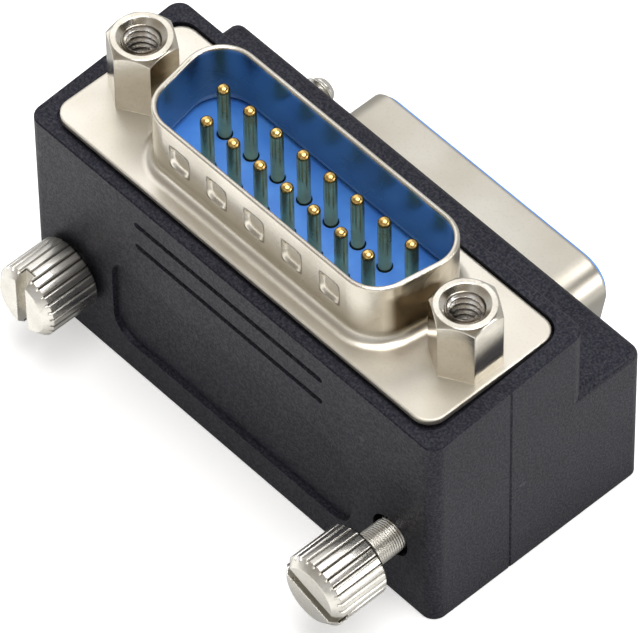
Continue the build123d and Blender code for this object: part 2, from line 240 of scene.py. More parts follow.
def new_group(name: str, inputs: dict[str, float], outputs: Iterable[str]) -> tuple[Any, Graph, Any]:
    """Starts a shader node group with a vector input named Place.

    Args:
        name: The group's name.
        inputs: Name of each number input and its first value.
        outputs: Names of the number outputs.

    Returns:
        The group's tree, its graph and the outputs of its input node.
    """
    tree = bpy.data.node_groups.new(name, "ShaderNodeTree")
    tree.interface.new_socket("Place", in_out="INPUT", socket_type="NodeSocketVector")
    for key, value in inputs.items():
        socket = tree.interface.new_socket(key, in_out="INPUT", socket_type="NodeSocketFloat")
        socket.default_value = value
    for key in outputs:
        tree.interface.new_socket(key, in_out="OUTPUT", socket_type="NodeSocketFloat")
    graph = Graph(tree)
    return tree, graph, graph.add("NodeGroupInput").outputs


class Effects:
    """Effects that several finishes share, each a node group."""

    mottle_range: tuple = (0.3, 0.7)
    cloud_range: tuple = (0.32, 0.68)
    speck_range: tuple = (0.54, 0.72)
    streak_range: tuple = (0.66, 0.7)
    streak_turn: tuple = (0.6, 0.9, 0.4)
    streak_stretch: tuple = (1.0, 0.06, 1.0)
    patch_scale: float = 180.0

    def __init__(self) -> None:
        """Makes every group once."""
        self.grain = self._grain()
        self.cloud = self._cloud()
        self.scuffs = self._scuffs()

    def _grain(self) -> NodeTree:
        """Fine grain of a moulded or plated surface.

        Returns:
            A group that puts out the grain's height and a soft mottle.
        """
        inputs = {"Scale": 4000.0, "Mottle scale": 300.0}
        tree, graph, given = new_group("fine_grain", inputs, ("Height", "Mottle"))
        fine = graph.noise(given["Place"], given["Scale"], detail=3.0, roughness=0.6)
        mottle = graph.noise(given["Place"], given["Mottle scale"], detail=3.0, roughness=0.55)
        graph.add("NodeGroupOutput", {"Height": fine, "Mottle": graph.span(mottle, *self.mottle_range)})
        return tree

    def _cloud(self) -> NodeTree:
        """Uneven plating.

        Returns:
            A group that puts out broad clouds and small dull specks.
        """
        inputs = {"Scale": 120.0, "Speck scale": 1800.0}
        tree, graph, given = new_group("plating_cloud", inputs, ("Cloud", "Specks"))
        broad = graph.noise(given["Place"], given["Scale"])
        specks = graph.noise(given["Place"], given["Speck scale"], roughness=0.6)
        graph.add("NodeGroupOutput", {"Cloud": graph.span(broad, *self.cloud_range),
                                      "Specks": graph.span(specks, *self.speck_range)})
        return tree

    def _scuffs(self) -> NodeTree:
        """Sparse short scratches: thin stretched streaks that show only here and there.

        Returns:
            A group that puts out the scratches' mask.
        """
        tree, graph, given = new_group("scuffs", {"Scale": 500.0, "Rarity": 0.6}, ("Mask",))
        turned = graph.add("Mapping", {"Vector": given["Place"], "Rotation": self.streak_turn,
                                       "Scale": self.streak_stretch}).outputs[0]
        streaks = graph.noise(turned, given["Scale"], detail=1.0, roughness=0.4)
        patches = graph.noise(given["Place"], self.patch_scale, detail=1.0)
        here = graph.maths("GREATER_THAN", patches, given["Rarity"])
        graph.add("NodeGroupOutput", {"Mask": graph.product(graph.span(streaks, *self.streak_range), here)})
        return tree


class Finish:
    """A material with one Principled shader, whose inputs each finish works out."""

    name: str = "finish"

    def inputs(self, graph: Graph, effects: Effects) -> dict[str, Any]:
        """Works out the shader's inputs by name, as sockets or plain values."""
        raise NotImplementedError

    def build(self, effects: Effects) -> Material:
        """Makes the material.

        Args:
            effects: The shared node groups.

        Returns:
            The finished material.
        """
        material = bpy.data.materials.new(self.name)
        material.use_nodes = True
        graph = Graph(material.node_tree)
        shader = graph.add("BsdfPrincipled", self.inputs(graph, effects))
        graph.add("OutputMaterial", {"Surface": shader.outputs[0]})
        return material


@dataclass(frozen=True)
class MouldedPlastic(Finish):
    """Dark housing plastic with a fine spark-eroded grain, faint mottling and a few scuffs."""

    name: str = "moulded_dark_plastic"
    dark: tuple = rgb(0.006, 0.006, 0.0095)
    light: tuple = rgb(0.011, 0.011, 0.016)
    grain_scale: float = 5600.0
    grain_height: float = 0.06 * MM
    grain_strength: float = 0.5
    mottle_scale: float = 260.0
    scuff: tuple = rgb(0.10, 0.10, 0.11)
    scuff_scale: float = 900.0
    scuff_rarity: float = 0.66
    scuff_amount: float = 0.35
    speckle: tuple = rgb(0.04, 0.04, 0.046)
    speckle_range: tuple = (0.48, 0.68)
    speckle_amount: float = 0.35
    rough_range: tuple = (0.3, 0.7)
    roughness: tuple = (0.42, 0.58)
    gloss: float = 0.17
    sheen: tuple = rgb(0.68, 0.66, 1.0)
    skin_range: tuple = (0.36, 0.64)
    skin_weight: float = 0.52
    skin_roughness: float = 0.5

    def inputs(self, graph: Graph, effects: Effects) -> dict[str, Any]:
        """Grain to bump, roughness and a glossy skin, mottle to two greys, scuffs to lighter marks.

        Args:
            graph: The material's graph.
            effects: The shared node groups.

        Returns:
            The shader's inputs.
        """
        grain = graph.effect(effects.grain, scale=self.grain_scale, mottle_scale=self.mottle_scale)
        scuffs = graph.effect(effects.scuffs, scale=self.scuff_scale, rarity=self.scuff_rarity)
        height = grain["Height"]
        colour = graph.blend(grain["Mottle"], self.dark, self.light)
        speckle = graph.span(height, *self.speckle_range, 0.0, self.speckle_amount)
        colour = graph.blend(speckle, colour, self.speckle)
        colour = graph.blend(graph.product(scuffs["Mask"], self.scuff_amount), colour, self.scuff)
        return {"Base Color": colour,
                "Roughness": graph.span(height, *self.rough_range, *self.roughness),
                "Normal": graph.bump(height, self.grain_height, self.grain_strength),
                "Coat Weight": graph.span(height, *self.skin_range, 0.0, self.skin_weight),
                "Coat Roughness": self.skin_roughness, "Specular IOR Level": self.gloss,
                "Specular Tint": self.sheen}


@dataclass(frozen=True)
class Plating(Finish):
    """Plated metal: a warm base, cloudy roughness, dull specks, a fine skin and rounded edges."""

    name: str = "plating"
    bright: tuple = rgb(0.80, 0.76, 0.68)
    dull: tuple = rgb(0.64, 0.595, 0.51)
    speck: tuple = rgb(0.42, 0.37, 0.30)
    smooth: float = 0.17
    rough: float = 0.30
    cloud_scale: float = 150.0
    speck_scale: float = 4800.0
    speck_amount: float = 0.3
    skin_scale: float = 2500.0
    skin_height: float = 0.006 * MM
    skin_strength: float = 0.7
    edge_radius: float = 0.12 * MM
    edge_samples: int = 6

    def inputs(self, graph: Graph, effects: Effects) -> dict[str, Any]:
        """Cloud to colour and roughness, specks to colour, skin to bump over the rounded edges.

        Args:
            graph: The material's graph.
            effects: The shared node groups.

        Returns:
            The shader's inputs.
        """
        cloud = graph.effect(effects.cloud, scale=self.cloud_scale, speck_scale=self.speck_scale)
        skin = graph.effect(effects.grain, scale=self.skin_scale)
        colour = graph.blend(cloud["Cloud"], self.bright, self.dull)
        colour = graph.blend(graph.product(cloud["Specks"], self.speck_amount), colour, self.speck)
        rough = graph.span(cloud["Cloud"], 0.0, 1.0, self.smooth, self.rough)
        colour, rough = self.vary(graph, colour, rough)
        edges = graph.add("Bevel", {"Radius": self.edge_radius}, samples=self.edge_samples).outputs[0]
        normal = graph.bump(skin["Height"], self.skin_height, self.skin_strength, edges)
        return {"Base Color": colour, "Metallic": 1.0, "Roughness": rough, "Normal": normal}

    def vary(self, graph: Graph, colour: Any, rough: Any) -> tuple[Any, Any]:
        """Changes colour and roughness from place to place; plain platings stay as they are."""
        return colour, rough


@dataclass(frozen=True)
class DrawnShell(Plating):
    """Plating of the drawn shells.

    The flange is duller. Painted shade, tinted blue as a painted reflection, darkens the inside of the male
    shell; painted shade darkens the female shell, a painted brown reflection lies low on the ends and painted
    shade lines the dimples.
    The male shell's wall is a rounded D, given by the centre of its right corners and their radius.
    """

    name: str = "drawn_nickel"
    speck_amount: float = 0.15
    edge_radius: float = 0.25 * MM
    flange_roughness: float = 0.13
    wall_foot: float = 0.25 * MM
    wall_start: float = 0.9 * MM
    wall_front: float = 4.25 * MM
    side_angle: float = 10.0
    corner_x: float = 9.747 * MM
    corner_y: float = 1.58 * MM
    corner_radius: float = 2.68 * MM
    rim: tuple = (5.2 * MM, 5.6 * MM)
    # painted shade inside the male shell, tinted blue as a painted reflection of the insulator
    inside_shade_tone: tuple = rgb(0.36, 0.44, 0.50)
    female_top: float = -5.0 * MM
    # painted shade that darkens the female shell's plating
    female_shade_tone: tuple = rgb(0.74, 0.74, 0.735)
    dimple_pitch: float = 3.87 * MM
    dimple_count: int = 5
    dimple_height: float = 3.2 * MM
    dimple_half: tuple = (1.0 * MM, 1.1 * MM)
    dimple_corner: float = 0.5 * MM
    dimple_edge: float = 0.12 * MM
    dimple_amount: float = 0.85
    # painted shade round the dimples
    dimple_shade_tone: tuple = rgb(0.13, 0.115, 0.095)
    # painted brown reflection low on the ends of the male shell
    reflection_tone: tuple = rgb(0.21, 0.16, 0.10)
    reflection_end: tuple = (11.9 * MM, 12.35 * MM)
    reflection_back: tuple = (0.9 * MM, 2.0 * MM)
    reflection_low: tuple = (0.4 * MM, 0.9 * MM)
    reflection_top: tuple = (3.7 * MM, 4.6 * MM)
    reflection_waver: float = 0.8 * MM
    reflection_scale: float = 420.0
    reflection_range: tuple = (0.3, 0.7)

    def vary(self, graph: Graph, colour: Any, rough: Any) -> tuple[Any, Any]:
        """Adds roughness on the flange, and painted shade and painted reflections on the inside, the female
        shell, the ends and the dimples.

        Args:
            graph: The material's graph.
            colour: The plating's colour.
            rough: Its roughness.

        Returns:
            The colour and the roughness, changed.
        """
        axes = graph.axes()
        flange = graph.span(axes[2], self.wall_foot, self.wall_start, self.flange_roughness, 0.0)
        above_flange = graph.span(axes[2], 0.0, self.wall_start)
        below_rim = graph.span(axes[2], *self.rim, 1.0, 0.0)
        inside = graph.product(self.within_wall(graph, axes), above_flange, below_rim)
        # painted shade inside the male shell, tinted blue as a painted reflection of the insulator
        colour = graph.toned(inside, colour, self.inside_shade_tone)
        female = graph.maths("LESS_THAN", axes[2], self.female_top)
        # painted shade on the female shell
        colour = graph.toned(female, colour, self.female_shade_tone)
        outside = graph.maths("SUBTRACT", 1.0, inside)
        # painted brown reflection low on the ends
        colour = graph.toned(graph.product(self.painted_reflection(graph, axes), outside), colour, self.reflection_tone)
        # painted shade round the dimples
        colour = graph.blend(self.dimple_shade_rings(graph, axes), colour, self.dimple_shade_tone)
        return colour, graph.maths("ADD", rough, flange)

    def within_wall(self, graph: Graph, axes: Any) -> Any:
        """Mask of what lies inside the middle of the male shell's wall.

        Args:
            graph: The material's graph.
            axes: The three parts of the place.

        Returns:
            The mask's socket.
        """
        held = graph.span(axes[1], -self.corner_y, self.corner_y, -self.corner_y, self.corner_y)
        lean = graph.product(held, math.tan(math.radians(self.side_angle)))
        across = graph.maths("SUBTRACT", graph.maths("ABSOLUTE", axes[0]), lean)
        across = graph.maths("MAXIMUM", graph.maths("SUBTRACT", across, self.corner_x), 0.0)
        along = graph.maths("SUBTRACT", graph.maths("ABSOLUTE", axes[1]), self.corner_y)
        along = graph.maths("MAXIMUM", along, 0.0)
        return graph.maths("LESS_THAN", graph.distance(across, along), self.corner_radius)

    def painted_reflection(self, graph: Graph, axes: Any) -> Any:
        """Mask of the painted brown reflection low on the ends of the outer wall, with a wavering top.

        Args:
            graph: The material's graph.
            axes: The three parts of the place.

        Returns:
            The mask's socket.
        """
        ends = graph.span(graph.maths("ABSOLUTE", axes[0]), *self.reflection_end)
        front = graph.span(axes[1], *self.reflection_back, 1.0, 0.0)
        noise = graph.noise(graph.place(), self.reflection_scale)
        waver = graph.span(noise, *self.reflection_range, -self.reflection_waver, self.reflection_waver)
        below = graph.span(graph.maths("ADD", axes[2], waver), *self.reflection_top, 1.0, 0.0)
        return graph.product(ends, front, below, graph.span(axes[2], *self.reflection_low))

    def dimple_shade_rings(self, graph: Graph, axes: Any) -> Any:
        """Mask of the painted shade: soft dark lines round the dimples of the front wall.

        Args:
            graph: The material's graph.
            axes: The three parts of the place.

        Returns:
            The mask's socket.
        """
        across = graph.maths("PINGPONG", axes[0], 0.5 * self.dimple_pitch)
        reach = graph.maths("SUBTRACT", across, self.dimple_half[0])
        rise = graph.maths("ABSOLUTE", graph.maths("SUBTRACT", axes[2], self.dimple_height))
        climb = graph.maths("SUBTRACT", rise, self.dimple_half[1])
        outline = graph.add("Math", {0: reach, 1: climb, 2: self.dimple_corner}, operation="SMOOTH_MAX")
        edge = graph.maths("ABSOLUTE", outline.outputs[0])
        ring = graph.span(edge, 0.0, self.dimple_edge, self.dimple_amount, 0.0)
        front = graph.maths("LESS_THAN", axes[1], -self.wall_front)
        row_end = 0.5 * self.dimple_count * self.dimple_pitch
        return graph.product(ring, front, graph.maths("LESS_THAN", graph.maths("ABSOLUTE", axes[0]), row_end))


@dataclass(frozen=True)
class KnurledHead(Plating):
    """Plating of the thumb screws, with painted shade in the grooves of their knurled heads."""

    name: str = "screw_nickel"
    bright: tuple = rgb(0.79, 0.77, 0.72)
    dull: tuple = rgb(0.68, 0.655, 0.60)
    smooth: float = 0.24
    rough: float = 0.36
    cloud_scale: float = 500.0
    skin_scale: float = 5000.0
    skin_height: float = 0.005 * MM
    groove_root: float = 2.74 * MM
    groove_crest: float = 2.925 * MM
    # painted shade in the knurl's grooves
    groove_shade_tone: tuple = rgb(0.05, 0.044, 0.038)
    groove_roughness: float = 0.2
    # lowers the crest on the right head, so its painted groove shade is narrower
    right_crest_drop: float = 0.08 * MM
    face_edge: float = 2.67 * MM
    left_nose: float = 11.85 * MM
    right_drawn: float = 2.55 * MM

    def vary(self, graph: Graph, colour: Any, rough: Any) -> tuple[Any, Any]:
        """Paints shade into the grooves and roughens them, by distance from the screw's axis.

        Args:
            graph: The material's graph.
            colour: The plating's colour.
            rough: Its roughness.

        Returns:
            The colour and the roughness, changed.
        """
        axes = graph.axes()
        across = graph.maths("SUBTRACT", graph.maths("ABSOLUTE", axes[0]), HALF_SPACING)
        distance = graph.distance(across, graph.maths("ADD", axes[2], SCREW_DROP))
        right = graph.maths("GREATER_THAN", axes[0], 0.0)
        crest = graph.maths("SUBTRACT", self.groove_crest, graph.product(right, self.right_crest_drop))
        depth = graph.span(distance, self.groove_root, crest, 1.0, 0.0)
        outer = graph.maths("GREATER_THAN", distance, self.face_edge)
        forward = graph.maths("ADD", axes[1], graph.product(right, self.right_drawn))
        behind_nose = graph.maths("GREATER_THAN", graph.maths("ADD", forward, self.left_nose), 0.0)
        groove = graph.product(depth, outer, behind_nose)
        rough = graph.maths("ADD", rough, graph.product(groove, self.groove_roughness))
        # painted shade in the knurl's grooves
        return graph.blend(groove, colour, self.groove_shade_tone), rough


@dataclass(frozen=True)
class ThreadedBore(Plating):
    """Plating of the jack standoffs, with painted light in their bores and painted shade between the turns of
    the thread.
    """

    name: str = "standoff_nickel"
    bright: tuple = rgb(0.78, 0.745, 0.67)
    dull: tuple = rgb(0.62, 0.575, 0.49)
    smooth: float = 0.14
    rough: float = 0.24
    cloud_scale: float = 350.0
    crest: float = 1.24 * MM
    root: float = 1.35 * MM
    wall: float = 1.42 * MM
    bore_low: float = 0.2 * MM
    # painted light in the bore
    bore_light_tone: tuple = rgb(0.97, 0.95, 0.92)
    # painted shade between the thread's turns
    thread_gap_shade: tuple = rgb(0.12, 0.10, 0.08)

    def vary(self, graph: Graph, colour: Any, rough: Any) -> tuple[Any, Any]:
        """Paints light into the bore and shade into the roots of its thread, by distance from the standoff's
        axis.

        Args:
            graph: The material's graph.
            colour: The plating's colour.
            rough: Its roughness.

        Returns:
            The colour, changed, and the roughness.
        """
        axes = graph.axes()
        across = graph.maths("SUBTRACT", graph.maths("ABSOLUTE", axes[0]), HALF_SPACING)
        distance = graph.distance(across, axes[1])
        within = graph.maths("LESS_THAN", distance, self.wall)
        bore = graph.product(within, graph.maths("GREATER_THAN", axes[2], self.bore_low))
        gaps = graph.product(bore, graph.span(distance, self.crest, self.root))
        # painted light in the bore and painted shade between the thread's turns
        return graph.blend(gaps, graph.blend(bore, colour, self.bore_light_tone), self.thread_gap_shade), rough


@dataclass(frozen=True)
class MouldedBlue(Finish):
    """Glossy blue insulator plastic with faint flow marks."""

    name: str = "moulded_blue_plastic"
    deep: tuple = rgb(0.055, 0.225, 0.77)
    pale: tuple = rgb(0.088, 0.31, 0.89)
    grain_scale: float = 3000.0
    grain_height: float = 0.006 * MM
    grain_strength: float = 0.5
    mottle_scale: float = 350.0
    rough_range: tuple = (0.3, 0.7)
    roughness: tuple = (0.3, 0.4)

    def inputs(self, graph: Graph, effects: Effects) -> dict[str, Any]:
        """Mottle to colour, grain to roughness and a shallow bump.

        Args:
            graph: The material's graph.
            effects: The shared node groups.

        Returns:
            The shader's inputs.
        """
        grain = graph.effect(effects.grain, scale=self.grain_scale, mottle_scale=self.mottle_scale)
        height = grain["Height"]
        return {"Base Color": graph.blend(grain["Mottle"], self.deep, self.pale),
                "Roughness": graph.span(height, *self.rough_range, *self.roughness),
                "Normal": graph.bump(height, self.grain_height, self.grain_strength)}


class Finishes:
    """The object's materials by slot."""

    def __init__(self) -> None:
        """Builds every material once."""
        effects = Effects()
        recipes = {
            Slot.HOUSING: MouldedPlastic(),
            Slot.SHELL: DrawnShell(),
            Slot.INSULATOR: MouldedBlue(),
            Slot.CONTACT: Plating(name="gold_plating", bright=rgb(0.86, 0.60, 0.22),
                                  dull=rgb(0.70, 0.45, 0.15), speck=rgb(0.30, 0.20, 0.10),
                                  smooth=0.16, rough=0.28, cloud_scale=600.0),
            Slot.STANDOFF: ThreadedBore(),
            Slot.SCREW: KnurledHead(),
            Slot.NUT: Plating(name="nut_steel_skin", bright=rgb(0.58, 0.57, 0.55), dull=rgb(0.45, 0.44, 0.42)),
            Slot.RING: Plating(name="spring_steel", bright=rgb(0.45, 0.45, 0.46), dull=rgb(0.33, 0.33, 0.34)),
            Slot.WIRE: Plating(name="tinned_copper", bright=rgb(0.70, 0.69, 0.66), dull=rgb(0.56, 0.54, 0.50)),
        }
        self.by_slot = {slot: recipe.build(effects) for slot, recipe in recipes.items()}

    def dress_node(self, name: str, slot: Slot) -> None:
        """Gives a CAD node its material."""
        for holder in frame["nodes"][name].material_slots:
            holder.material = self.by_slot[slot]

    def dress_piece(self, piece: Object, slot: Slot) -> None:
        """Gives a new piece the material built for one of the record's slots.

        Args:
            piece: The new piece.
            slot: The slot that its finish comes from.
        """
        piece.data.materials.clear()
        piece.data.materials.append(self.by_slot[slot])


# ---- modelling helpers ----


def select_only(obj: Object) -> None:
    """Makes one object the only selected and the active one.

    Args:
        obj: The object.
    """
    bpy.ops.object.select_all(action="DESELECT")
    obj.select_set(True)
    bpy.context.view_layer.objects.active = obj


@contextmanager
def editing(obj: Object) -> Iterator[None]:
    """Holds one object in edit mode.

    Args:
        obj: The object.

    Returns:
        A context that leaves edit mode at its end.
    """
    select_only(obj)
    bpy.ops.object.mode_set(mode="EDIT")
    yield
    bpy.ops.object.mode_set(mode="OBJECT")


def pick(obj: Object, test: Callable[[Vector], bool]) -> None:
    """In edit mode, selects vertices, and the edges and faces between them.

    Args:
        obj: The object in edit mode.
        test: Says of a vertex's place whether it is picked.
    """
    mesh = bmesh.from_edit_mesh(obj.data)
    for vertex in mesh.verts:
        vertex.select = test(vertex.co)
    mesh.select_flush(True)
    mesh.select_flush(False)
    bmesh.update_edit_mesh(obj.data)


def bisect(height: float) -> None:
    """In edit mode, cuts new edges into a mesh at a height."""
    bpy.ops.mesh.select_all(action="SELECT")
    bpy.ops.mesh.bisect(plane_co=(0, 0, height), plane_no=(0, 0, 1))


def draw_in(factor: float) -> None:
    """In edit mode, scales what is selected towards the Z axis."""
    bpy.ops.transform.resize(value=(factor, factor, 1.0), center_override=(0, 0, 0))


def cylinder(name: str, radius: float, low: float, high: float, sides: int = ROUND_SIDES) -> Object:
    """Upright cylinder on the Z axis.

    Args:
        name: Name of the object.
        radius: Radius to the corners, in metres.
        low: Height of the lower end.
        high: Height of the upper end.
        sides: Number of corners.

    Returns:
        The new object, alone selected.
    """
    bpy.ops.mesh.primitive_cylinder_add(vertices=sides, radius=radius, depth=high - low,
                                        location=(0, 0, (low + high) / 2))
    obj = bpy.context.object
    obj.name = name
    bpy.ops.object.transform_apply()
    return obj


def apply_modifier(obj: Object, kind: str, **settings: Any) -> None:
    """Adds a modifier and applies it.

    Args:
        obj: The object.
        kind: The modifier's type.
        settings: The modifier's settings.
    """
    select_only(obj)
    modifier = obj.modifiers.new("step", kind)
    for key, value in settings.items():
        setattr(modifier, key, value)
    bpy.ops.object.modifier_apply(modifier=modifier.name)


def cut(obj: Object, tool: Object, operation: str = "DIFFERENCE") -> None:
    """Cuts a closed object by another one, which is then removed."""
    apply_modifier(obj, "BOOLEAN", operation=operation, object=tool, solver="EXACT")
    bpy.data.objects.remove(tool)


def break_edges(obj: Object, width: float, degrees: float) -> None:
    """Bevels every edge that is sharper than an angle."""
    apply_modifier(obj, "BEVEL", width=width, segments=2, limit_method="ANGLE",
                   angle_limit=math.radians(degrees), harden_normals=False)


def join(parts: list[Object], name: str) -> Object:
    """Joins objects into one piece.

    Args:
        parts: The objects.
        name: The piece's name.

    Returns:
        The piece.
    """
    select_only(parts[0])
    for part in parts:
        part.select_set(True)
    bpy.ops.object.join()
    parts[0].name = name
    return parts[0]


def smooth(obj: Object) -> None:
    """Shades smooth except over sharp edges, with flat faces kept flat.

    Args:
        obj: The object.
    """
    select_only(obj)
    bpy.ops.object.shade_smooth_by_angle(angle=math.radians(SHADE_ANGLE))
    apply_modifier(obj, "WEIGHTED_NORMAL", weight=100, keep_sharp=True)


def put(obj: Object, matrix: Matrix) -> None:
    """Moves a piece to its place and puts that place in its mesh.

    Args:
        obj: The piece.
        matrix: Its place.
    """
    select_only(obj)
    obj.matrix_world = matrix
    bpy.ops.object.transform_apply()


@dataclass(frozen=True)
class Thread:
    """Helical ridge of a screw thread, in metres; a crest inside the root makes an inner thread.

    It is swept from a triangle with a corner radius of 1, which is 1.5 high on a base of root 3.
    """

    root: float
    crest: float
    pitch: float
    low: float
    high: float
    sunk: float = 0.04 * MM
    width: float = 0.9
    steps: int = 28

    def build(self) -> Object:
        """Sweeps the ridge and closes its ends.

        Returns:
            The closed ridge.
        """
        outward = 1 if self.crest > self.root else -1
        height = abs(self.crest - self.root) + self.sunk
        middle = self.root + outward * (height / 3 - self.sunk)
        turns = max(1, round((self.high - self.low) / self.pitch - self.width))
        bpy.ops.mesh.primitive_circle_add(vertices=3, radius=1.0,
                                          rotation=(math.radians(90), math.radians(90) * outward, 0))
        obj = bpy.context.object
        bpy.ops.object.transform_apply()
        with editing(obj):
            bpy.ops.mesh.select_all(action="SELECT")
            bpy.ops.transform.resize(value=(height / 1.5, 1.0, self.width * self.pitch / math.sqrt(3)),
                                     center_override=(0, 0, 0))
            bpy.ops.transform.translate(value=(middle, 0, self.low + 0.5 * self.width * self.pitch))
        apply_modifier(obj, "SCREW", axis="Z", angle=math.tau, screw_offset=self.pitch, iterations=turns,
                       steps=self.steps, render_steps=self.steps, use_normal_calculate=False)
        with editing(obj):
            bpy.ops.mesh.select_all(action="SELECT")
            bpy.ops.mesh.fill_holes(sides=4)
            bpy.ops.mesh.select_all(action="SELECT")
            bpy.ops.mesh.normals_make_consistent(inside=False)
        return obj


# ---- sub-assemblies ----


@dataclass(frozen=True)
class ThumbScrew:
    """Knurled captive thumb screw with a slotted head and a threaded shank, all in metres.

    Its head's rear face is the local zero, and the head stands along local +Z.
    """

    side: Side
    slot_angle: float
    head_radius: float = 2.925 * MM
    head_length: float = 4.9 * MM
    chamfer: float = 0.6 * MM
    knurls: int = 26
    knurl_steps: int = 6
    knurl_depth: float = 0.22 * MM
    groove_share: float = 0.05
    slot_width: float = 1.05 * MM
    slot_depth: float = 1.1 * MM
    edge_width: float = 0.05 * MM
    edge_angle: float = 30.0
    overlap: float = 0.3 * MM
    root_radius: float = 1.1 * MM
    shank_radius: float = 1.37 * MM
    neck_length: float = 0.75 * MM
    neck_bevel: float = 0.2 * MM
    near_pitch: float = 0.2 * MM
    sleeve_share: float = 0.4
    far_pitch: float = 0.6 * MM
    ring_from: float = 5.34 * MM
    ring_to: float = 5.96 * MM
    tip_chamfer: float = 0.4 * MM
    tip_share: float = 0.75

    @property
    def node(self) -> str:
        """Name of the CAD node that the screw replaces."""
        return f"{self.side.word}_thumb_screw"

    def place(self) -> Matrix:
        """Finds the screw's place at rest.

        Returns:
            Matrix from the local frame to that place.
        """
        low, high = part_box(self.node)
        spot = Vector(((low.x + high.x) / 2, low.y + self.head_length, (low.z + high.z) / 2))
        return Matrix.Translation(spot) @ Matrix.Rotation(math.radians(90), 4, "X")

    def reach(self) -> float:
        """Length of the shank behind the head."""
        low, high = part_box(self.node)
        return high.y - low.y - self.head_length

    def in_groove(self, spot: Vector) -> bool:
        """Whether a vertex lies on a groove's line."""
        turned = math.atan2(spot.y, spot.x) / (math.tau / self.knurls) + 0.5
        return abs(turned - round(turned)) < self.groove_share

    def head(self) -> Object:
        """Knurled head: notched cylinder with a plain chamfered nose and a driver slot.

        Returns:
            The head.
        """
        obj = cylinder("head", self.head_radius, 0.0, self.head_length, self.knurls * self.knurl_steps)
        root = self.head_radius - self.knurl_depth
        nose = self.head_length - self.chamfer
        shoulder = nose + self.knurl_depth
        rings = (
            (lambda spot: self.knurl_depth - NEAR < spot.z < nose + NEAR and self.in_groove(spot), root),
            (lambda spot: spot.z > self.head_length - NEAR, self.head_radius - self.chamfer),
            (lambda spot: abs(spot.z - shoulder) < NEAR, root),
            (lambda spot: spot.z < NEAR, root),
        )
        with editing(obj):
            for height in (self.knurl_depth, nose, shoulder):
                bisect(height)
            for test, radius in rings:
                pick(obj, test)
                draw_in(radius / self.head_radius)
        bpy.ops.mesh.primitive_cube_add(size=1.0, location=(0, 0, self.head_length),
                                        rotation=(0, 0, math.radians(self.slot_angle)))
        blade = bpy.context.object
        blade.scale = (3 * self.head_radius, self.slot_width, 2 * self.slot_depth)
        bpy.ops.object.transform_apply()
        cut(obj, blade)
        break_edges(obj, self.edge_width, self.edge_angle)
        return obj

    def core(self) -> Object:
        """Core of the shank at the thread's root, with a chamfered tip.

        Returns:
            The core.
        """
        tip = -self.reach()
        core = cylinder("core", self.root_radius, tip, self.overlap)
        with editing(core):
            bisect(tip + self.tip_chamfer)
            pick(core, lambda spot: spot.z < tip + NEAR)
            draw_in(self.tip_share)
        return core

    def neck(self) -> Object:
        """Plain neck behind the head.

        Returns:
            The neck.
        """
        neck = cylinder("neck", self.shank_radius, -self.neck_length, self.overlap)
        with editing(neck):
            pick(neck, lambda spot: spot.z < 0.0)
            bpy.ops.mesh.bevel(offset=self.neck_bevel, segments=2, affect="EDGES")
        return neck

    def threads(self) -> list[Object]:
        """Fine rings next to the head and a coarse thread at the tip, with the retaining ring's groove free.

        Returns:
            The sleeve under the fine rings and both threads.
        """
        near_root = self.shank_radius - 0.5 * self.near_pitch
        near = Thread(near_root, self.shank_radius, self.near_pitch, -self.ring_from,
                      -self.neck_length + self.neck_bevel).build()
        sleeve = cylinder("sleeve", self.shank_radius - self.sleeve_share * self.near_pitch, -self.ring_from,
                          -0.5 * self.neck_length)
        far = Thread(self.root_radius, self.shank_radius, self.far_pitch,
                     -self.reach() + self.tip_chamfer, -self.ring_to).build()
        return [sleeve, near, far]

    def build(self, finishes: Finishes) -> Object:
        """Builds the screw, dresses it, and puts it in place of its node.

        Args:
            finishes: The materials.

        Returns:
            The finished piece.
        """
        piece = join([self.head(), self.core(), self.neck(), *self.threads()], f"{self.node}_knurled")
        smooth(piece)
        put(piece, self.place())
        finishes.dress_piece(piece, Slot.SCREW)
        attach(piece, f"{self.side.word}_screw")
        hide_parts(self.node)
        return piece


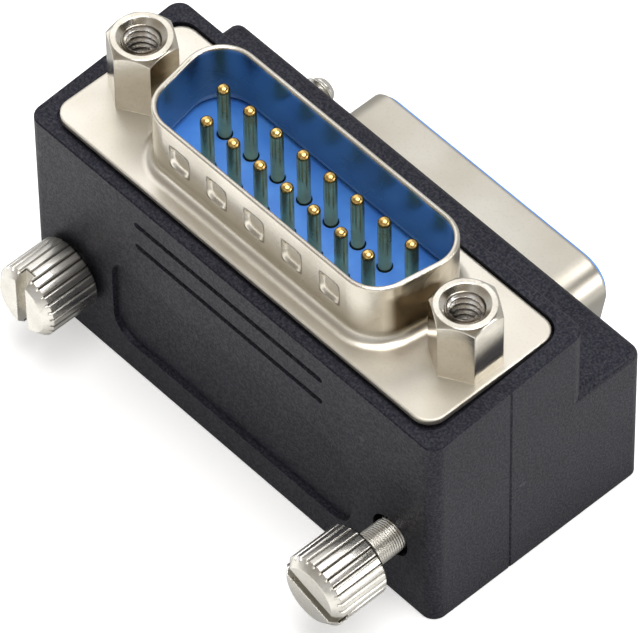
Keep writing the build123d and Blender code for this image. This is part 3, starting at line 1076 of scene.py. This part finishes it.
@dataclass(frozen=True)
class JackStandoff:
    """Hexagonal jack standoff with a threaded, countersunk bore and a stud below, all in metres."""

    side: Side
    flats: float = 4.75 * MM
    height: float = 5.64 * MM
    crown: float = 0.12 * MM
    crown_sides: int = 96
    margin: float = 0.02 * MM
    foot_margin: float = 0.1 * MM
    stud_radius: float = 1.37 * MM
    stud_overlap: float = 0.5 * MM
    stud_bevel: float = 0.4 * MM
    bore_radius: float = 1.37 * MM
    bore_depth: float = 4.8 * MM
    bore_sides: int = 48
    crest_radius: float = 1.13 * MM
    pitch: float = 0.6 * MM
    thread_end: float = 0.35 * MM
    sink_radius: float = 1.85 * MM
    edge_width: float = 0.06 * MM
    edge_angle: float = 28.0

    @property
    def node(self) -> str:
        """Name of the CAD node that the standoff replaces."""
        return f"{self.side.word}_hex_standoff"

    def hexagon(self) -> Object:
        """Hexagon whose top corners are turned off.

        Returns:
            The hexagon.
        """
        corner = self.flats / math.sqrt(3)
        obj = cylinder("hexagon", corner, 0.0, self.height, 6)
        turned = cylinder("turned", corner + self.margin, -self.foot_margin, self.height, self.crown_sides)
        with editing(turned):
            pick(turned, lambda spot: spot.z > self.height - NEAR)
            bpy.ops.mesh.bevel(offset=corner - self.flats / 2 + self.crown + self.margin, segments=1,
                               affect="EDGES")
        cut(obj, turned, "INTERSECT")
        return obj

    def stud(self) -> Object:
        """Stud that goes through the flange, with a bevelled end.

        Returns:
            The stud.
        """
        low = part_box(self.node)[0].z
        stud = cylinder("stud", self.stud_radius, low, self.stud_overlap)
        with editing(stud):
            pick(stud, lambda spot: spot.z < 0.0)
            bpy.ops.mesh.bevel(offset=self.stud_bevel, segments=1, affect="EDGES")
        return stud

    def sink(self) -> Object:
        """Cone that cuts the bore's countersink.

        Returns:
            The cone.
        """
        depth = self.sink_radius - self.bore_radius
        sink = cylinder("sink", self.sink_radius, self.height - depth, self.height, self.bore_sides)
        with editing(sink):
            pick(sink, lambda spot: spot.z < self.height - NEAR)
            draw_in(self.bore_radius / self.sink_radius)
        return sink

    def body(self) -> Object:
        """Hexagon with its stud and its countersunk bore.

        Returns:
            The body.
        """
        obj = self.hexagon()
        cut(obj, self.stud(), "UNION")
        cut(obj, cylinder("bore", self.bore_radius, self.height - self.bore_depth, self.height + MM,
                          self.bore_sides))
        cut(obj, self.sink())
        break_edges(obj, self.edge_width, self.edge_angle)
        return obj

    def build(self, finishes: Finishes) -> Object:
        """Builds the standoff, dresses it, and puts it in place of its node.

        Args:
            finishes: The materials.

        Returns:
            The finished piece.
        """
        ridge = Thread(self.bore_radius, self.crest_radius, self.pitch,
                       self.height - self.bore_depth, self.height - self.thread_end).build()
        piece = join([self.body(), ridge], f"{self.node}_threaded")
        smooth(piece)
        low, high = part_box(self.node)
        put(piece, Matrix.Translation(((low.x + high.x) / 2, (low.y + high.y) / 2, 0.0)))
        finishes.dress_piece(piece, Slot.STANDOFF)
        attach(piece, "housing")
        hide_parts(self.node)
        return piece


class CarriedNodes:
    """CAD nodes that keep their shape and get a finish by their slot of the record."""

    def build(self, finishes: Finishes) -> None:
        """Dresses every node by the material slot that the record gives it.

        Args:
            finishes: The materials.
        """
        for row in frame["record"]["subparts"]:
            finishes.dress_node(row["node"], Slot(row["material_slot"]))
            LOG.info("dressed %s as %s", row["node"], row["material_slot"])


@dataclass(frozen=True)
class PhotoCamera:
    """Camera that matches the photograph: its place, turn and lens, worked out from known sizes."""

    spot: tuple = (260.793 * MM, -232.371 * MM, 424.923 * MM)
    turn: tuple = (0.86511773, 0.30107034, 0.13805779, 0.37665371)
    focal_pixels: float = 7831.43
    centre: tuple = (316.523, 319.759)
    sensor: float = 36.0
    clip: tuple = (0.01, 20.0)

    def build(self) -> Object:
        """Creates the camera and makes it the scene's own.

        Returns:
            The camera.
        """
        data = bpy.data.cameras.new("photo_camera")
        data.sensor_width = self.sensor
        data.lens = self.focal_pixels * self.sensor / PHOTO_WIDTH
        data.shift_x = (PHOTO_WIDTH / 2 - self.centre[0]) / PHOTO_WIDTH
        data.shift_y = (self.centre[1] - PHOTO_HEIGHT / 2) / PHOTO_WIDTH
        data.clip_start, data.clip_end = self.clip
        camera = bpy.data.objects.new("photo_camera", data)
        camera.location = self.spot
        camera.rotation_mode = "QUATERNION"
        camera.rotation_quaternion = Quaternion(self.turn)
        bpy.context.scene.collection.objects.link(camera)
        bpy.context.scene.camera = camera
        return camera


@dataclass(frozen=True)
class SoftBox:
    """Square area lamp aimed at a point."""

    name: str
    spot: tuple
    size: float
    watts: float
    colour: tuple = (1.0, 1.0, 1.0)
    aim: tuple = (0.0, 0.0, 0.0)

    def build(self) -> Object:
        """Creates the lamp.

        Returns:
            The lamp.
        """
        data = bpy.data.lights.new(self.name, "AREA")
        data.shape = "SQUARE"
        data.size = self.size
        data.energy = self.watts
        data.color = self.colour
        lamp = bpy.data.objects.new(self.name, data)
        lamp.location = self.spot
        lamp.rotation_mode = "QUATERNION"
        lamp.rotation_quaternion = (Vector(self.aim) - Vector(self.spot)).to_track_quat("-Z", "Y")
        bpy.context.scene.collection.objects.link(lamp)
        return lamp


@dataclass(frozen=True)
class Studio:
    """Plain pale floor, white background and soft lamps.

    Reflections see the floor brighter ahead of the part and to its right, and the sky dimmer round each
    dark flag, which is a direction and the level that is left there.
    """

    floor_size: float = 6.0
    floor_colour: tuple = rgb(0.86, 0.86, 0.86)
    floor_glow: float = 0.4
    mirrored_bright: tuple = rgb(0.61, 0.607, 0.595)
    mirrored_dim: tuple = rgb(0.23, 0.23, 0.227)
    mirrored_glow: float = 1.0
    slant: float = 0.24
    front_fade: tuple = (14.3 * MM, 18.8 * MM)
    right_rise: tuple = (20.0 * MM, 30.0 * MM)
    right_fall: tuple = (33.0 * MM, 37.0 * MM)
    sky_level: float = 0.58
    dark_flags: tuple = (((0.474, 0.422, 0.772), 0.06), ((-0.42, -0.60, 0.68), 0.55),
                         ((0.60, -0.20, 0.77), 0.45))
    flag_inner: float = 0.95
    flag_outer: float = 0.80
    flag_tint: tuple = rgb(1.0, 0.80, 0.52)
    boxes: tuple = (
        SoftBox("key_box", (-0.45, 0.17, 0.38), 0.46, 0.60),
        SoftBox("top_box", (0.2, 0.1, 1.2), 1.0, 14.0),
        SoftBox("right_box", (1.0, 0.5, 0.15), 0.7, 6.0),
    )

    def mirrored_tone(self, graph: Graph) -> Any:
        """Colour that reflections see on the floor.

        Args:
            graph: The floor's graph.

        Returns:
            The colour's socket.
        """
        axes = graph.axes()
        ahead = graph.maths("SUBTRACT", graph.product(axes[0], -self.slant), axes[1])
        right = graph.product(graph.span(axes[0], *self.right_rise),
                              graph.span(axes[0], *self.right_fall, 1.0, 0.0))
        lit = graph.maths("MAXIMUM", graph.span(ahead, *self.front_fade), right)
        return graph.blend(lit, self.mirrored_dim, self.mirrored_bright)

    @staticmethod
    def glowing(graph: Graph, paper: Node, colour: Any, strength: float) -> Any:
        """Shader of paper that also glows."""
        glow = graph.add("Emission", {"Color": colour, "Strength": strength})
        return graph.add("AddShader", {0: paper.outputs[0], 1: glow.outputs[0]}).outputs[0]

    def floor_material(self) -> Material:
        """Pale paper: white with a soft shadow to the camera, graded in reflections.

        Returns:
            The floor's material.
        """
        material = bpy.data.materials.new("pale_floor")
        material.use_nodes = True
        graph = Graph(material.node_tree)
        paper = graph.add("BsdfDiffuse", {"Color": self.floor_colour})
        white = self.glowing(graph, paper, WHITE, self.floor_glow)
        tone = self.mirrored_tone(graph)
        graded = self.glowing(graph, graph.add("BsdfDiffuse", {"Color": tone}), tone, self.mirrored_glow)
        path = graph.add("LightPath").outputs
        shown = graph.add("MixShader", {0: path["Is Camera Ray"], 1: paper.outputs[0], 2: white}).outputs[0]
        shown = graph.add("MixShader", {0: path["Is Glossy Ray"], 1: shown, 2: graded}).outputs[0]
        graph.add("OutputMaterial", {"Surface": shown})
        return material

    def floor(self) -> None:
        """Lays the floor under the part's foot."""
        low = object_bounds()[0]
        bpy.ops.mesh.primitive_plane_add(size=self.floor_size, location=(0, 0, low.z))
        plane = bpy.context.object
        plane.name = "studio_floor"
        plane.data.materials.append(self.floor_material())
        plane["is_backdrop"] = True

    def world(self) -> None:
        """Lights the scene evenly except for the dark flags, and shows white to the camera."""
        world = bpy.data.worlds.new("studio_world")
        world.use_nodes = True
        bpy.context.scene.world = world
        graph = Graph(world.node_tree)
        toward = graph.add("TexCoord").outputs["Generated"]
        flags = []
        for direction, left in self.dark_flags:
            unit = Vector(direction).normalized()
            near = graph.add("VectorMath", {0: toward, 1: unit}, operation="DOT_PRODUCT").outputs["Value"]
            flags.append(graph.span(near, self.flag_outer, self.flag_inner, 1.0, left))
        dim = graph.product(*flags)
        seen = graph.add("LightPath").outputs["Is Camera Ray"]
        sky_inputs = {0: seen, 2: graph.product(dim, self.sky_level), 3: 1.0}
        level = graph.add("Mix", sky_inputs, data_type="FLOAT").outputs[0]
        colour = graph.blend(seen, graph.blend(dim, self.flag_tint, WHITE), WHITE)
        sky = graph.add("Background", {"Color": colour, "Strength": level})
        graph.add("OutputWorld", {"Surface": sky.outputs[0]})

    def build(self) -> None:
        """Sets the colour view and makes floor, world and lamps."""
        bpy.context.scene.view_settings.view_transform = "Standard"
        self.world()
        self.floor()
        for box in self.boxes:
            LOG.info("hung %s", box.build().name)


def main() -> None:
    """Builds the camera, the dressed part and the studio, and reports each piece."""
    logging.basicConfig(level=logging.INFO, format="%(name)s: %(message)s")
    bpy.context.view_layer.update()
    PhotoCamera().build()
    finishes = Finishes()
    CarriedNodes().build(finishes)
    for screw in (ThumbScrew(Side.LEFT, 90.0), ThumbScrew(Side.RIGHT, -18.0)):
        LOG.info("built %s", screw.build(finishes).name)
    for side in Side:
        LOG.info("built %s", JackStandoff(side).build(finishes).name)
    Studio().build()


if __name__ == "__main__":
    main()
